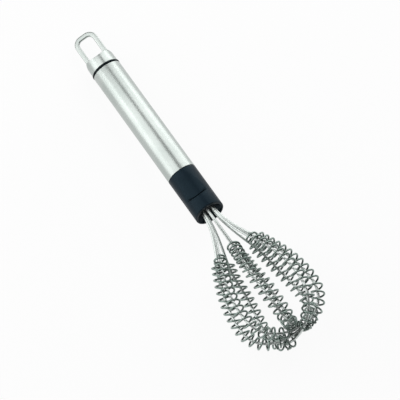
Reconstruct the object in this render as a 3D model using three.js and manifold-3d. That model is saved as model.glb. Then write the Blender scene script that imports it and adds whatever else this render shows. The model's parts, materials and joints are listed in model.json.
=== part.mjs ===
// Spiral whisk: a steel handle tube with a hanging loop, a black thumb collar, and four wire loops
// whose eight legs each carry a loose coil spring.
// Millimetres. The whisk is drawn along its own axis first: +Y runs down the handle to the head, with
// y = 0 at the cap end of the tube, +Z is the thumb's side and X lies across. It is then rolled, laid
// on a table with its head at +X and +Z up, and set over the middle of its own footprint.
import * as THREE from "three";
import { mergeVertices } from "three/addons/utils/BufferGeometryUtils.js";
import Module from "manifold-3d";

// Fit
const FIT = 0.3; // gap between pieces that touch

// Handle tube
const TUBE_DIAMETER = 22;
const TUBE_WALL = 0.8;
const TUBE_LENGTH = 97;

// Seal ring
const RING_DIAMETER = 22.4;
const RING_BORE = 12;
const RING_THICKNESS = 1.3;

// End cap
const CAP_DIAMETER = 21.5;
const CAP_LENGTH = 10.2;
const CAP_SHOULDER_RADIUS = 4.2;
const CAP_VAULT_DROP = 2.4; // how far the crest stands above the cap's thumb edge
const CAP_SOCKET_DEPTH = 6.5; // of the loop's legs, from the crest

// Hanging loop
const LOOP_WIDTH = 18.4;
const LOOP_BAR = 3.6; // width of the bar, seen from the thumb's side
const LOOP_THICKNESS = 2.5;
const LOOP_REACH = 21.7; // from the cap's crest to the top of the loop
const LOOP_CORNER_RADIUS = 7;
const LOOP_INNER_RADIUS = 3.4;
const LOOP_EDGE = 0.4; // chamfer along the bar

// End plug and its screw
const PLUG_LENGTH = 13;
const SCREW_DIAMETER = 3;
const SCREW_HEAD_DIAMETER = 6;
const SCREW_HEAD_HEIGHT = 2;
const SCREW_GRIP = 4; // length held in the end cap

// Thumb collar
const COLLAR_LENGTH = 35.1; // from the tube to the middle of the rim
const COLLAR_WALL = 1.5; // under the thumb rest
const COLLAR_WEB = 4; // solid between the hollow back and the ferrule's pocket
const SPIGOT_LENGTH = 12;
const RIM_SLANT = 12; // degrees, the rim is cut so that the mouth opens towards the thumb's side
const MOUTH_DIAMETER = 19.5; // of the hollow mouth at the middle of the rim
const MOUTH_FLOOR = 15; // diameter to which the mouth narrows at the ferrule's face
const THUMB_START = 1.5; // from the tube's edge to where the rest begins to sink
const THUMB_LENGTH = 21.2;
const THUMB_DEPTH = 1.5; // at the step
const THUMB_ROUND = 14.7; // radius of the rest's gently rounded floor
const THUMB_STEP_LEAN = 20; // degrees, the step's wall leans towards the head

// Wire ferrule
const FERRULE_DIAMETER = 12.6;
const FERRULE_LENGTH = 12;
const FERRULE_RECESS = 3; // how far its face lies inside the middle of the rim
const FERRULE_BORE_DEPTH = 10;

// Wire loops
const LOOP_COUNT = 4;
const WIRE_DIAMETER = 2;
const LEG_CIRCLE = 9; // diameter of the circle of legs in the ferrule
const HEAD_RADIUS = 30.2; // of the wires at the widest place
const HEAD_WIDEST = 81.9; // from the rim to the widest place
const HEAD_LENGTH = 104.9; // from the rim to the middle of the crossing
const FLARE_START = 27; // pull of the curve where a leg leaves the ferrule
const FLARE_END = 38; // pull of the curve where a leg comes to its widest place
const BOWL_SIDE = 14; // pull of the curve below the widest place
const BOWL_FLOOR = 20; // pull of the curve at the crossing
// Degrees by which each leg stands out of its plane at the widest place, as used wires do.
const LEG_BOWS = [2, 7, 0, 14, 6, -8, 0, -11];
const BOW_FOOT = 0.35; // share of the bow with which a leg leaves the ferrule
const BOW_FULL = 0.3; // share of the sprung length over which the rest builds up
const BOW_FADE = 0.3; // share of the sprung length from which it fades towards the crossing

// Coil springs
const SPRING_DIAMETER = 10;
const SPRING_WIRE = 1.4;
const SPRING_TURNS = 12;
const SPRING_SPREAD = 1.2; // above 1 the turns crowd at the top, as they do under the hand
const SPRING_TOP = 35.4; // length of bare leg between the rim and the spring
const SPRING_END_GAP = 1.4; // between neighbouring springs at the crossing
const CLOSING_TURN = 0.8; // share of a turn over which the top end closes on the leg

// Rest on the table
const ROLL = 15; // degrees, so that the head lies on two neighbouring legs

// Facets
const ROUND_SIDES = 40;
const BORE_SIDES = 12;
const WIRE_SIDES = 8;
const WIRE_STEPS = 64;
const CURL_SIDES = 5;
const CURL_STEPS = 8;

// Places along the handle that follow from the sizes
const tubeRadius = TUBE_DIAMETER / 2;
const tubeBore = tubeRadius - TUBE_WALL;
const capFoot = -(RING_THICKNESS + 2 * FIT);
const capCrest = capFoot - CAP_LENGTH;
const socketFloor = capCrest + CAP_SOCKET_DEPTH;
const loopTop = capCrest - LOOP_REACH;
const collarStart = TUBE_LENGTH + FIT;
const rimMiddle = collarStart + COLLAR_LENGTH;
const ferruleFace = rimMiddle - FERRULE_RECESS;
const ferruleBack = ferruleFace - FERRULE_LENGTH;
const wireRadius = WIRE_DIAMETER / 2;
const legRadius = LEG_CIRCLE / 2;
const coilRadius = (SPRING_DIAMETER - SPRING_WIRE) / 2;
const legStep = Math.PI / LOOP_COUNT;

const wasm = await Module();
wasm.setup();

const steel = { color: 0xd3d8d5, roughness: 0.35, metalness: 1 };
const brightSteel = { color: 0xc3cac6, roughness: 0.2, metalness: 1 };
const springSteel = { color: 0xa9b3ae, roughness: 0.25, metalness: 1 };
const blackPlastic = { color: 0x1f2a33, roughness: 0.45, metalness: 0 };
const blackRubber = { color: 0x0a1214, roughness: 0.6, metalness: 0 };

function piece(name, geometry, finish) {
  const mesh = new THREE.Mesh(geometry, new THREE.MeshStandardMaterial(finish));
  mesh.name = name;
  return mesh;
}

// A closed geometry as a solid that can be joined and cut.
function solidOf(geometry) {
  const bare = geometry.clone();
  bare.deleteAttribute("normal");
  bare.deleteAttribute("uv");
  const merged = mergeVertices(bare, 1e-4);
  return new wasm.Manifold(
    new wasm.Mesh({
      numProp: 3,
      vertProperties: new Float32Array(merged.attributes.position.array),
      triVerts: new Uint32Array(merged.index.array),
    }),
  );
}

function geometryOf(solid) {
  const mesh = solid.getMesh();
  return new THREE.BufferGeometry()
    .setAttribute("position", new THREE.BufferAttribute(mesh.vertProperties, 3))
    .setIndex(new THREE.BufferAttribute(mesh.triVerts, 1));
}

function turned(profile, sides = ROUND_SIDES) {
  return new THREE.LatheGeometry(
    profile.map(([radius, y]) => new THREE.Vector2(radius, y)),
    sides,
  );
}

// A round bar along Y whose flats lie at the given radius or outside it, for cutting bores.
function boreTool(radius, from, to) {
  return new THREE.CylinderGeometry(
    radius / Math.cos(Math.PI / BORE_SIDES),
    radius / Math.cos(Math.PI / BORE_SIDES),
    to - from,
    BORE_SIDES,
  ).translate(0, (from + to) / 2, 0);
}

function roundSection(diameter, sides) {
  const corners = Array.from({ length: sides }, (_, i) => {
    const angle = (2 * Math.PI * i) / sides;
    return new THREE.Vector2(Math.cos(angle), Math.sin(angle)).multiplyScalar(diameter / 2);
  });
  return new THREE.Shape(corners);
}

// The bar's outline seen from the thumb's side: down one leg, over the top and down the other.
function hangingLoop() {
  const half = LOOP_WIDTH / 2;
  const inner = half - LOOP_BAR;
  const foot = socketFloor - FIT;
  const outerTurn = loopTop + LOOP_CORNER_RADIUS;
  const innerTop = loopTop + LOOP_BAR;
  const innerTurn = innerTop + LOOP_INNER_RADIUS;
  const bar = new THREE.Shape();
  bar.moveTo(half, foot);
  bar.lineTo(inner, foot);
  bar.lineTo(inner, innerTurn);
  bar.absarc(inner - LOOP_INNER_RADIUS, innerTurn, LOOP_INNER_RADIUS, 0, -Math.PI / 2, true);
  bar.absarc(LOOP_INNER_RADIUS - inner, innerTurn, LOOP_INNER_RADIUS, -Math.PI / 2, -Math.PI, true);
  bar.lineTo(-inner, foot);
  bar.lineTo(-half, foot);
  bar.lineTo(-half, outerTurn);
  bar.absarc(LOOP_CORNER_RADIUS - half, outerTurn, LOOP_CORNER_RADIUS, Math.PI, 1.5 * Math.PI, false);
  bar.absarc(half - LOOP_CORNER_RADIUS, outerTurn, LOOP_CORNER_RADIUS, 1.5 * Math.PI, 2 * Math.PI, false);
  bar.closePath();
  const geometry = new THREE.ExtrudeGeometry(bar, {
    depth: LOOP_THICKNESS - 2 * LOOP_EDGE,
    curveSegments: 6,
    bevelThickness: LOOP_EDGE,
    bevelSize: LOOP_EDGE,
    bevelOffset: -LOOP_EDGE,
    bevelSegments: 1,
  });
  geometry.translate(0, 0, LOOP_EDGE - LOOP_THICKNESS / 2);
  return piece("hanging_loop", geometry, steel);
}

// A drum cut to round shoulders seen from the thumb's side and to a vault seen from across.
function endCap() {
  const radius = CAP_DIAMETER / 2;
  const drum = turned([[0, capCrest], [radius, capCrest], [radius, capFoot], [0, capFoot]]);

  const front = new THREE.Shape();
  front.moveTo(radius, capFoot);
  front.lineTo(radius, capCrest + CAP_SHOULDER_RADIUS);
  const shoulderX = radius - CAP_SHOULDER_RADIUS;
  const shoulderY = capCrest + CAP_SHOULDER_RADIUS;
  front.absarc(shoulderX, shoulderY, CAP_SHOULDER_RADIUS, 0, -Math.PI / 2, true);
  front.absarc(-shoulderX, shoulderY, CAP_SHOULDER_RADIUS, -Math.PI / 2, -Math.PI, true);
  front.lineTo(-radius, capFoot);
  front.closePath();
  const frontBar = new THREE.ExtrudeGeometry(front, {
    depth: CAP_DIAMETER,
    curveSegments: 8,
    bevelEnabled: false,
  }).translate(0, 0, -radius);

  const vaultRadius = (radius ** 2 + CAP_VAULT_DROP ** 2) / (2 * CAP_VAULT_DROP);
  const vaultSpan = Math.asin(radius / vaultRadius);
  const side = new THREE.Shape();
  side.moveTo(-radius, capFoot);
  side.lineTo(-radius, capCrest + CAP_VAULT_DROP);
  side.absarc(
    0,
    capCrest + vaultRadius,
    vaultRadius,
    -Math.PI / 2 - vaultSpan,
    -Math.PI / 2 + vaultSpan,
    false,
  );
  side.lineTo(radius, capFoot);
  side.closePath();
  const sideBar = new THREE.ExtrudeGeometry(side, {
    depth: CAP_DIAMETER,
    curveSegments: 12,
    bevelEnabled: false,
  })
    .translate(0, 0, -radius)
    .rotateY(Math.PI / 2);

  let cap = solidOf(drum).intersect(solidOf(frontBar)).intersect(solidOf(sideBar));
  const legX = (LOOP_WIDTH - LOOP_BAR) / 2;
  for (const x of [-legX, legX]) {
    const socket = new THREE.BoxGeometry(
      LOOP_BAR + 2 * FIT,
      CAP_SOCKET_DEPTH,
      LOOP_THICKNESS + 2 * FIT,
    ).translate(x, capCrest + CAP_SOCKET_DEPTH / 2, 0);
    cap = cap.subtract(solidOf(socket));
  }
  const screwHole = boreTool(SCREW_DIAMETER / 2 + FIT, capFoot - SCREW_GRIP - FIT, capFoot + FIT);
  cap = cap.subtract(solidOf(screwHole));
  return piece("end_cap", geometryOf(cap), steel);
}

function sealRing() {
  const inner = RING_BORE / 2;
  const outer = RING_DIAMETER / 2;
  const top = -FIT - RING_THICKNESS;
  return piece(
    "seal_ring",
    turned([[inner, -FIT], [inner, top], [outer, top], [outer, -FIT], [inner, -FIT]]),
    blackRubber,
  );
}

function handleTube() {
  return piece(
    "handle_tube",
    turned([
      [tubeBore, TUBE_LENGTH],
      [tubeBore, 0],
      [tubeRadius, 0],
      [tubeRadius, TUBE_LENGTH],
      [tubeBore, TUBE_LENGTH],
    ]),
    steel,
  );
}

// The plug fills the tube's end, and its boss reaches through the seal ring to the cap.
function endPlug() {
  const body = tubeBore - FIT;
  const boss = RING_BORE / 2 - FIT;
  const hole = SCREW_DIAMETER / 2 + FIT;
  const bossEnd = capFoot + FIT;
  return piece(
    "end_plug",
    turned([
      [hole, PLUG_LENGTH],
      [hole, bossEnd],
      [boss, bossEnd],
      [boss, 0],
      [body, 0],
      [body, PLUG_LENGTH],
      [hole, PLUG_LENGTH],
    ]),
    blackPlastic,
  );
}

function capScrew() {
  const seat = PLUG_LENGTH + FIT;
  return piece(
    "cap_screw",
    turned(
      [
        [0, capFoot - SCREW_GRIP],
        [SCREW_DIAMETER / 2, capFoot - SCREW_GRIP],
        [SCREW_DIAMETER / 2, seat],
        [SCREW_HEAD_DIAMETER / 2, seat],
        [SCREW_HEAD_DIAMETER / 2, seat + SCREW_HEAD_HEIGHT],
        [0, seat + SCREW_HEAD_HEIGHT],
      ],
      BORE_SIDES * 2,
    ),
    brightSteel,
  );
}

// A turned body with a spigot in the tube, hollow from the back. In front it has a mouth with a slanting
// rim and the ferrule's pocket, and the thumb rest is cut into its +Z side.
function thumbCollar() {
  const spigot = tubeBore - FIT;
  const hollow = tubeRadius - THUMB_DEPTH - COLLAR_WALL;
  const pocket = FERRULE_DIAMETER / 2 + FIT;
  const pocketFloor = ferruleBack - FIT;
  const slant = THREE.MathUtils.degToRad(RIM_SLANT);
  const blankEnd = rimMiddle + tubeRadius * Math.tan(slant) + 1;
  const beyond = new THREE.BoxGeometry(2 * TUBE_DIAMETER, TUBE_DIAMETER, 2 * TUBE_DIAMETER)
    .translate(0, tubeRadius, 0)
    .rotateX(slant)
    .translate(0, rimMiddle, 0);
  const body = turned([
    [0, pocketFloor - COLLAR_WEB],
    [hollow, pocketFloor - COLLAR_WEB],
    [hollow, collarStart - SPIGOT_LENGTH],
    [spigot, collarStart - SPIGOT_LENGTH],
    [spigot, collarStart],
    [tubeRadius, collarStart],
    [tubeRadius, blankEnd],
    [MOUTH_DIAMETER / 2, blankEnd],
    [MOUTH_DIAMETER / 2, rimMiddle],
    [MOUTH_FLOOR / 2, ferruleFace],
    [pocket, ferruleFace],
    [pocket, pocketFloor],
    [0, pocketFloor],
  ]);

  // The rest seen from across is open upwards and ends in a leaning step. Its floor is a wide drum that
  // just touches the surface at the tube's end and sinks towards the step.
  const restStart = collarStart + THUMB_START;
  const restEnd = restStart + THUMB_LENGTH;
  const above = tubeRadius + THUMB_DEPTH;
  const lean = Math.tan(THREE.MathUtils.degToRad(THUMB_STEP_LEAN));
  const rest = new THREE.Shape();
  rest.moveTo(0, restStart);
  rest.lineTo(0, restEnd - (tubeRadius - THUMB_DEPTH) * lean);
  rest.lineTo(-above, restEnd + 2 * THUMB_DEPTH * lean);
  rest.lineTo(-above, restStart);
  rest.closePath();
  const restBar = new THREE.ExtrudeGeometry(rest, { depth: TUBE_DIAMETER, bevelEnabled: false })
    .translate(0, 0, -tubeRadius)
    .rotateY(Math.PI / 2);
  const drumLength = 4 * THUMB_LENGTH;
  const floorDrum = new THREE.CylinderGeometry(THUMB_ROUND, THUMB_ROUND, drumLength, 2 * ROUND_SIDES)
    .rotateX(-Math.atan(THUMB_DEPTH / THUMB_LENGTH))
    .translate(0, (restStart + restEnd) / 2, tubeRadius - THUMB_DEPTH / 2 - THUMB_ROUND);
  const cut = solidOf(restBar).subtract(solidOf(floorDrum));
  const collar = solidOf(body).subtract(solidOf(beyond)).subtract(cut);
  return piece("thumb_collar", geometryOf(collar), blackPlastic);
}

function wireFerrule() {
  const radius = FERRULE_DIAMETER / 2;
  let block = solidOf(
    turned([[0, ferruleBack], [radius, ferruleBack], [radius, ferruleFace], [0, ferruleFace]]),
  );
  for (let loop = 0; loop < LOOP_COUNT; loop++) {
    for (const side of [0, 1]) {
      const bore = boreTool(wireRadius + FIT, ferruleFace - FERRULE_BORE_DEPTH, ferruleFace + FIT);
      bore.translate(0, 0, legRadius).rotateY(new Leg(loop, side).angleAt(0));
      block = block.subtract(solidOf(bore));
    }
  }
  return piece("wire_ferrule", geometryOf(block), blackPlastic);
}

// One leg in its own plane, x away from the axis and y along it: straight in the ferrule, flaring to
// the widest place and then round to the crossing. Each loop crosses one wire lower than the last.
function legPath(loop) {
  const crossing = rimMiddle + HEAD_LENGTH + (loop - (LOOP_COUNT - 1) / 2) * (WIRE_DIAMETER + FIT);
  const widest = rimMiddle + HEAD_WIDEST;
  const path = new THREE.Path();
  path.moveTo(legRadius, ferruleFace - FERRULE_BORE_DEPTH + FIT);
  path.lineTo(legRadius, ferruleFace);
  path.bezierCurveTo(
    legRadius,
    ferruleFace + FLARE_START,
    HEAD_RADIUS,
    widest - FLARE_END,
    HEAD_RADIUS,
    widest,
  );
  path.bezierCurveTo(HEAD_RADIUS, widest + BOWL_SIDE, BOWL_FLOOR, crossing, 0, crossing);
  return path;
}

// A leg in space: its path, and the angle round the axis of the plane in which it lies or nearly lies.
class Leg {
  constructor(loop, side) {
    const straight = FERRULE_BORE_DEPTH - FIT + FERRULE_RECESS;
    this.path = legPath(loop);
    this.angle = loop * legStep + side * Math.PI;
    this.bow = THREE.MathUtils.degToRad(LEG_BOWS[loop + side * LOOP_COUNT] ?? 0);
    this.springStart = (straight + SPRING_TOP) / this.path.getLength();
  }

  angleAt(share) {
    const sprung = (share - this.springStart) / (1 - this.springStart);
    const rise = THREE.MathUtils.smoothstep(sprung, 0, BOW_FULL);
    const fade = THREE.MathUtils.smoothstep(sprung, BOW_FADE, 1);
    return this.angle + this.bow * THREE.MathUtils.lerp(BOW_FOOT, 1, rise) * (1 - fade);
  }
}

// A whole loop: down one leg and up the one across from it.
class LoopCurve extends THREE.Curve {
  constructor(loop) {
    super();
    this.legs = [new Leg(loop, 0), new Leg(loop, 1)];
  }

  getPoint(t, target = new THREE.Vector3()) {
    const leg = this.legs[t < 0.5 ? 0 : 1];
    const share = 1 - Math.abs(1 - 2 * t);
    const place = leg.path.getPointAt(share);
    const angle = leg.angleAt(share);
    return target.set(place.x * Math.sin(angle), place.y, place.x * Math.cos(angle));
  }
}

// A coil round a stretch of one leg. Its top end closes on the wire, which carries it.
class CoilCurve extends THREE.Curve {
  constructor(leg, end) {
    super();
    this.leg = leg;
    this.end = end;
    this.arcLengthDivisions = SPRING_TURNS * CURL_STEPS * 8;
  }

  getPoint(t, target = new THREE.Vector3()) {
    const place = THREE.MathUtils.lerp(this.leg.springStart, this.end, t ** SPRING_SPREAD);
    const core = this.leg.path.getPointAt(place);
    const along = this.leg.path.getTangentAt(place);
    const angle = this.leg.angleAt(place);
    const turn = 2 * Math.PI * SPRING_TURNS * t;
    const closed = wireRadius + FIT + SPRING_WIRE / 2;
    const opening = THREE.MathUtils.smoothstep(t * SPRING_TURNS, 0, CLOSING_TURN);
    const radius = THREE.MathUtils.lerp(closed, coilRadius, opening);
    const outward = radius * Math.cos(turn);
    const across = -radius * Math.sin(turn); // wound left-handed
    const reach = core.x + outward * along.y;
    return target.set(
      reach * Math.sin(angle) + across * Math.cos(angle),
      core.y - outward * along.x,
      reach * Math.cos(angle) - across * Math.sin(angle),
    );
  }
}

// The share of a leg at which it comes back in to the given distance from the axis.
function shareAtReturn(leg, distance) {
  let share = 1;
  while (leg.path.getPointAt(share).x < distance) {
    share -= 0.002;
  }
  return share;
}

// The least free space between turns, measured on points of the coil over half a turn apart.
function leastGap(coil) {
  const perTurn = 24;
  const points = coil.getPoints(SPRING_TURNS * perTurn);
  let least = Infinity;
  points.forEach((a, i) => {
    for (let j = i + perTurn / 2; j < points.length; j++) {
      least = Math.min(least, a.distanceTo(points[j]));
    }
  });
  return least - SPRING_WIRE;
}

function wireLoop(loop) {
  const geometry = new THREE.ExtrudeGeometry(roundSection(WIRE_DIAMETER, WIRE_SIDES), {
    steps: WIRE_STEPS,
    extrudePath: new LoopCurve(loop),
  });
  return piece(`wire_loop_${loop + 1}`, geometry, brightSteel);
}

function coilSpring(loop, side) {
  const leg = new Leg(loop, side);
  const endDistance = (SPRING_DIAMETER + SPRING_END_GAP) / (2 * Math.sin(legStep / 2));
  const coil = new CoilCurve(leg, shareAtReturn(leg, endDistance));
  const name = `coil_spring_${loop + 1}${"ab"[side]}`;
  console.log(`${name}: least gap between turns ${leastGap(coil).toFixed(2)} mm`);
  const geometry = new THREE.ExtrudeGeometry(roundSection(SPRING_WIRE, CURL_SIDES), {
    steps: SPRING_TURNS * CURL_STEPS,
    extrudePath: coil,
  });
  return piece(name, geometry, springSteel);
}

const handle = new THREE.Group().add(
  hangingLoop(),
  endCap(),
  sealRing(),
  handleTube(),
  endPlug(),
  capScrew(),
  thumbCollar(),
  wireFerrule(),
);
const head = new THREE.Group();
for (let loop = 0; loop < LOOP_COUNT; loop++) {
  head.add(wireLoop(loop), coilSpring(loop, 0), coilSpring(loop, 1));
}

// Rolled about its axis, then turned so that the head points to +X.
const rolled = new THREE.Group().add(handle, head);
rolled.rotation.y = THREE.MathUtils.degToRad(ROLL);
const laid = new THREE.Group().add(rolled);
laid.rotation.z = -Math.PI / 2;
const whisk = new THREE.Group().add(laid);

function cornersOf(group) {
  const corners = [];
  group.traverse((mesh) => {
    if (!mesh.isMesh) return;
    const places = mesh.geometry.getAttribute("position");
    for (let i = 0; i < places.count; i++) {
      corners.push(new THREE.Vector3().fromBufferAttribute(places, i).applyMatrix4(mesh.matrixWorld));
    }
  });
  return corners;
}

// The tilt at which handle and head both touch the table: head up if it would sink, down if it floats.
function restingTilt() {
  whisk.updateMatrixWorld(true);
  const [handleCorners, headCorners] = [handle, head].map(cornersOf);
  const lowest = (corners, tilt) =>
    corners.reduce((low, p) => Math.min(low, p.z * Math.cos(tilt) + p.x * Math.sin(tilt)), Infinity);
  let [low, high] = [-Math.PI / 6, Math.PI / 6];
  for (let i = 0; i < 40; i++) {
    const tilt = (low + high) / 2;
    if (lowest(headCorners, tilt) < lowest(handleCorners, tilt)) {
      low = tilt;
    } else {
      high = tilt;
    }
  }
  return (low + high) / 2;
}

whisk.rotation.y = -restingTilt();
whisk.updateMatrixWorld(true);
const box = new THREE.Box3().setFromObject(whisk, true);
const middle = box.getCenter(new THREE.Vector3());
whisk.position.set(-middle.x, -middle.y, -box.min.z);

export default new THREE.Group().add(whisk);
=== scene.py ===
# %% [markdown]
# # A spiral whisk
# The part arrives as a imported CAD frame. This script dresses it: smooth steel and plastic pieces take
# the place of the faceted solids, every surface gets a material made of nodes, and a plain studio
# stands round it. Loading the frame comes first, because each piece is made where the frame says.

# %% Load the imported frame
import json
import math
from bisect import bisect_right

import bmesh
import bpy
from mathutils import Matrix, Vector
from mathutils.geometry import interpolate_bezier
from mathutils.kdtree import KDTree


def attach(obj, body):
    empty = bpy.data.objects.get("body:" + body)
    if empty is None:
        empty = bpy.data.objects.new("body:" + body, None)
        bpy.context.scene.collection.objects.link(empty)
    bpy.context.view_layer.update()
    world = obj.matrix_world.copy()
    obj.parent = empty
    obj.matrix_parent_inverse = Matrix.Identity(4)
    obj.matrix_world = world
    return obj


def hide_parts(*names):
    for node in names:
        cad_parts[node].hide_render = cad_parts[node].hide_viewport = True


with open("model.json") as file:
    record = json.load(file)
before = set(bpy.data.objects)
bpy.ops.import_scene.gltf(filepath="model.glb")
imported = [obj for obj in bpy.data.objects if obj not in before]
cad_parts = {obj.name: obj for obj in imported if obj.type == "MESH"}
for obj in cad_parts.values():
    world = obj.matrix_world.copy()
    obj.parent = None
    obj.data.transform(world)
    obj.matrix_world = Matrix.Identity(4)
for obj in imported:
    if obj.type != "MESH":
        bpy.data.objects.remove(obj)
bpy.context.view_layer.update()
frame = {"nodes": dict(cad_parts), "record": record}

# %% [markdown]
# ## The whisk's own directions
# A whisk lies slantwise on a table, which is an awkward way to model it. It is far easier along its own
# axis: Y runs down the handle to the head with zero at the cap end of the tube, Z points to the thumb's
# side, and X lies across, all in millimetres. The two mounts on the hanging loop tell where that axis
# lies, so one matrix can lay each finished piece down on the table. The piece then sits in its mesh,
# with its object left at the origin.

# %% A matrix from the whisk's directions to the table
MM = 0.001
HOOK_SEAT_Y = -30.2
mounts = {mount["name"]: mount for mount in frame["record"]["mounts"]}
axis = Vector(mounts["hook_seat"]["axis"]).normalized()
thumb = -Vector(mounts["loop_back"]["axis"]).normalized()
across = axis.cross(thumb)
tube_start = Vector(mounts["hook_seat"]["pos_m"]) - axis * (HOOK_SEAT_Y * MM)
lay_down = Matrix.Translation(tube_start) @ Matrix((across, axis, thumb)).transposed().to_4x4()
lay_down = lay_down @ Matrix.Scale(MM, 4)
print("tube starts at", [round(v, 4) for v in tube_start])

# %% [markdown]
# ## The camera
# The photograph looks down on the thumb's side, from a little towards the head, through a long lens.
# The axis of the whisk runs down to the right. The camera's own directions are built from the whisk's
# axis, and its aim is set so that the black ring falls where the photograph has it.

# %% Camera
LEAN_TO_HEAD = math.radians(18.5)
SLOPE_ON_IMAGE = math.radians(54.1)
IMAGE_SIDE = 400
RING_PIXEL = (106.2, 69.9)
RING_FOOT = -0.3
RING_TOP = -1.6
CAMERA_DISTANCE = 1.59
to_camera = (math.sin(LEAN_TO_HEAD) * axis + math.cos(LEAN_TO_HEAD) * thumb).normalized()
axis_on_image = (axis - axis.dot(to_camera) * to_camera).normalized()
square_to_axis = to_camera.cross(axis_on_image)
image_right = math.cos(SLOPE_ON_IMAGE) * axis_on_image + math.sin(SLOPE_ON_IMAGE) * square_to_axis
image_up = to_camera.cross(image_right)

camera_data = bpy.data.cameras.new("camera")
camera_data.lens = 199.4
camera_data.sensor_width = 36
camera_data.clip_end = 20
camera = bpy.data.objects.new("camera", camera_data)
bpy.context.scene.collection.objects.link(camera)
bpy.context.scene.camera = camera
pixels_per_metre = IMAGE_SIDE * camera_data.lens / camera_data.sensor_width / CAMERA_DISTANCE
ring_middle = lay_down @ Vector((0, (RING_FOOT + RING_TOP) / 2, 0))
aim = ring_middle + image_right * ((IMAGE_SIDE / 2 - RING_PIXEL[0]) / pixels_per_metre)
aim -= image_up * ((IMAGE_SIDE / 2 - RING_PIXEL[1]) / pixels_per_metre)
camera_turn = Matrix((image_right, image_up, to_camera)).transposed().to_4x4()
camera.matrix_world = Matrix.Translation(aim + to_camera * CAMERA_DISTANCE) @ camera_turn
print("camera at", [round(v, 3) for v in camera.location], "up", [round(v, 3) for v in image_up])

# %% [markdown]
# ## Grain shared by the metals
# Drawn and brushed steel carries fine lines along the way it was worked, and faint clouds where the
# polish varies. Each metal needs both at its own scale, so they are one node group: a noise stretched
# along one direction gives the lines, a broad noise gives the clouds.

# %% Node group: worked metal
def new_group(name, inputs, outputs):
    group = bpy.data.node_groups.new(name, "ShaderNodeTree")
    for socket, kind, value in inputs:
        made = group.interface.new_socket(socket, in_out="INPUT", socket_type=kind)
        if value is not None:
            made.default_value = value
    for socket in outputs:
        group.interface.new_socket(socket, in_out="OUTPUT", socket_type="NodeSocketFloat")
    entry = group.nodes.new("NodeGroupInput")
    leave = group.nodes.new("NodeGroupOutput")
    return group, entry, leave


worked_metal, entry, leave = new_group(
    "worked_metal",
    [
        ("Place", "NodeSocketVector", None),
        ("Line Spacing", "NodeSocketVector", (6.0, 0.08, 6.0)),
        ("Cloud Scale", "NodeSocketFloat", 0.08),
    ],
    ["Lines", "Clouds"],
)
stretch = worked_metal.nodes.new("ShaderNodeVectorMath")
stretch.operation = "MULTIPLY"
line_noise = worked_metal.nodes.new("ShaderNodeTexNoise")
line_noise.inputs["Scale"].default_value = 1.0
line_noise.inputs["Detail"].default_value = 4.0
cloud_noise = worked_metal.nodes.new("ShaderNodeTexNoise")
cloud_noise.inputs["Detail"].default_value = 3.0
links = worked_metal.links
links.new(entry.outputs["Place"], stretch.inputs[0])
links.new(entry.outputs["Line Spacing"], stretch.inputs[1])
links.new(stretch.outputs["Vector"], line_noise.inputs["Vector"])
links.new(entry.outputs["Place"], cloud_noise.inputs["Vector"])
links.new(entry.outputs["Cloud Scale"], cloud_noise.inputs["Scale"])
links.new(line_noise.outputs["Fac"], leave.inputs["Lines"])
links.new(cloud_noise.outputs["Fac"], leave.inputs["Clouds"])
print("group", worked_metal.name, "with", len(worked_metal.nodes), "nodes")

# %% [markdown]
# ## Grain of the mouldings
# Plastic takes the fine matt grain of the tool it was moulded in, and handling wears it unevenly. The
# group is a small cell pattern for the grain over a soft noise for the wear.

# %% Node group: moulded grain
moulded_grain, entry, leave = new_group(
    "moulded_grain",
    [("Place", "NodeSocketVector", None), ("Grain Scale", "NodeSocketFloat", 3.0)],
    ["Grain", "Wear"],
)
cells = moulded_grain.nodes.new("ShaderNodeTexVoronoi")
cells.feature = "SMOOTH_F1"
soft = moulded_grain.nodes.new("ShaderNodeTexNoise")
soft.inputs["Scale"].default_value = 0.12
soft.inputs["Detail"].default_value = 5.0
links = moulded_grain.links
links.new(entry.outputs["Place"], cells.inputs["Vector"])
links.new(entry.outputs["Grain Scale"], cells.inputs["Scale"])
links.new(entry.outputs["Place"], soft.inputs["Vector"])
links.new(cells.outputs["Distance"], leave.inputs["Grain"])
links.new(soft.outputs["Fac"], leave.inputs["Wear"])
print("group", moulded_grain.name, "with", len(moulded_grain.nodes), "nodes")

# %% [markdown]
# ## Helpers for finishes
# No surface of the whisk is quite even. Its colour wanders between a pale and a deep tone, its roughness
# between two values, and a slight bump lifts its grain. Each helper adds the nodes for one of these. The
# handle's pieces carry an attribute with their place in the whisk's own directions, so that the grain
# follows the tube. Wires curve everywhere, so they use plain object coordinates. A second attribute,
# painted_shade, marks where shade is painted into the colour, which turns dark there.

# %% Helpers: nodes of a finish
def new_material(slot):
    material = bpy.data.materials.new(slot + "_finish")
    material.use_nodes = True
    tree = material.node_tree
    shader = tree.nodes["Principled BSDF"]
    return material, tree, shader


def read_attribute(tree, name):
    node = tree.nodes.new("ShaderNodeAttribute")
    node.attribute_name = name
    return node


def read_place(tree, place):
    """A place in the whisk's directions and millimetres, or in the object's and metres."""
    if place == "whisk_place":
        return read_attribute(tree, place).outputs["Vector"]
    return tree.nodes.new("ShaderNodeTexCoord").outputs["Object"]


def blend_range(tree, source, low, high):
    """A node that turns a mask around its middle into the range from low to high."""
    node = tree.nodes.new("ShaderNodeMapRange")
    node.inputs["From Min"].default_value = 0.3
    node.inputs["From Max"].default_value = 0.7
    node.inputs["To Min"].default_value = low
    node.inputs["To Max"].default_value = high
    tree.links.new(source, node.inputs["Value"])
    return node.outputs["Result"]


def blend_colours(tree, mask, first, second):
    node = tree.nodes.new("ShaderNodeMix")
    node.data_type = "RGBA"
    node.inputs["A"].default_value = (*first, 1)
    node.inputs["B"].default_value = (*second, 1)
    tree.links.new(mask, node.inputs["Factor"])
    return node.outputs["Result"]


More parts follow.
